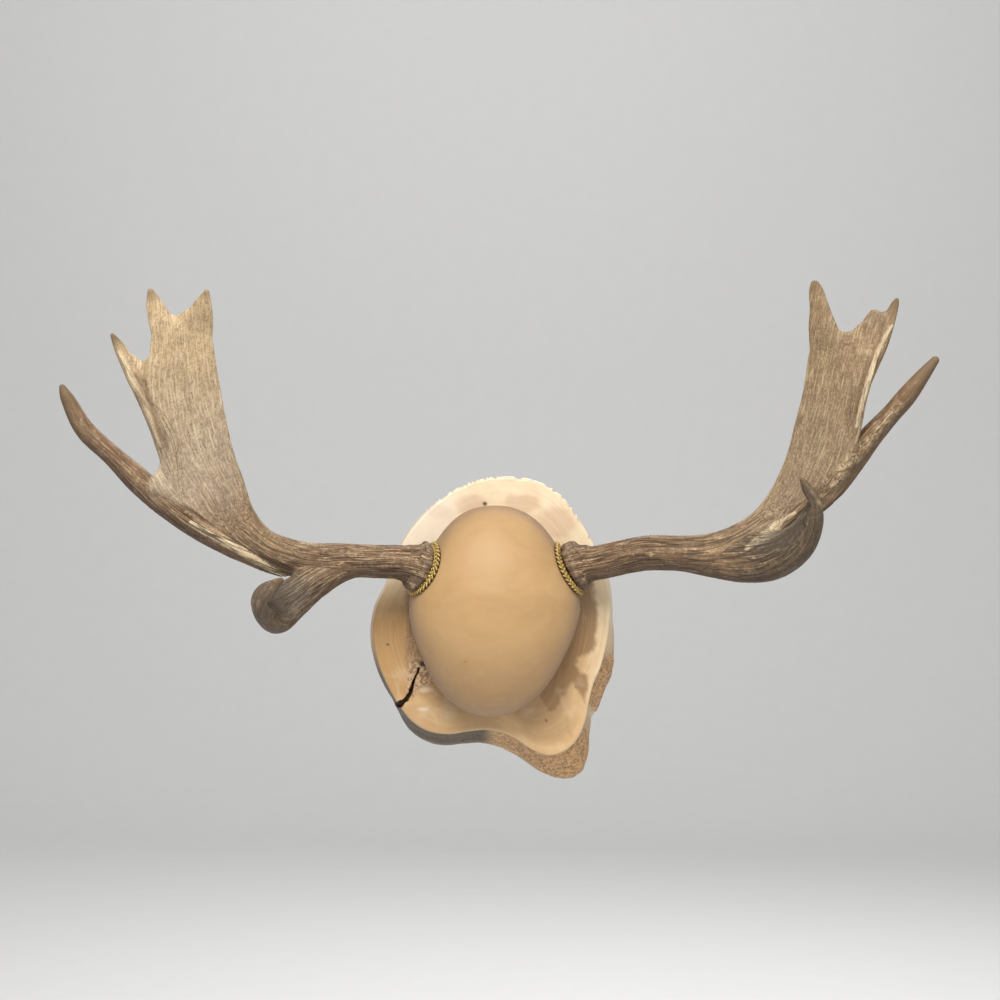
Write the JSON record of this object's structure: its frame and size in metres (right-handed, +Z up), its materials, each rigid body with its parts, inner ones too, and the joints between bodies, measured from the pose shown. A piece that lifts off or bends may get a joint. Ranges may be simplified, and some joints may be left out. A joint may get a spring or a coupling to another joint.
{
  "type": "moose antler mount",
  "caption": "Pair of palmate moose antlers set in an egg-shaped leather-covered skull form with braid trim, on a live-edge wood slice that hangs flat on a wall.",
  "frame": {"origin": "middle of the wood slice's flat back, where it rests on the wall", "axes": "+Z up, +X to the right as seen from in front, +Y into the wall"},
  "size_m": [0.928, 0.2365, 0.5454],
  "materials": {
    "antler": "dry bone, satin, brown with pale ridges",
    "leather": "smooth tan, matte",
    "wood": "satin varnish on the face, bare bark on the rim",
    "braid": "metallic gold and black braid",
    "screw_steel": "zinc-plated"
  },
  "bodies": {
    "root": {"wood_slice": "wood", "skull_form": "leather", "lower_screw": "screw_steel", "upper_screw": "screw_steel", "left_beam": "antler", "left_brow_tine": "antler", "left_palm": "antler", "left_outer_tine": "antler", "left_trim": "braid", "right_beam": "antler", "right_brow_tine": "antler", "right_palm": "antler", "right_outer_tine": "antler", "right_trim": "braid"}
  },
  "joints": []
}
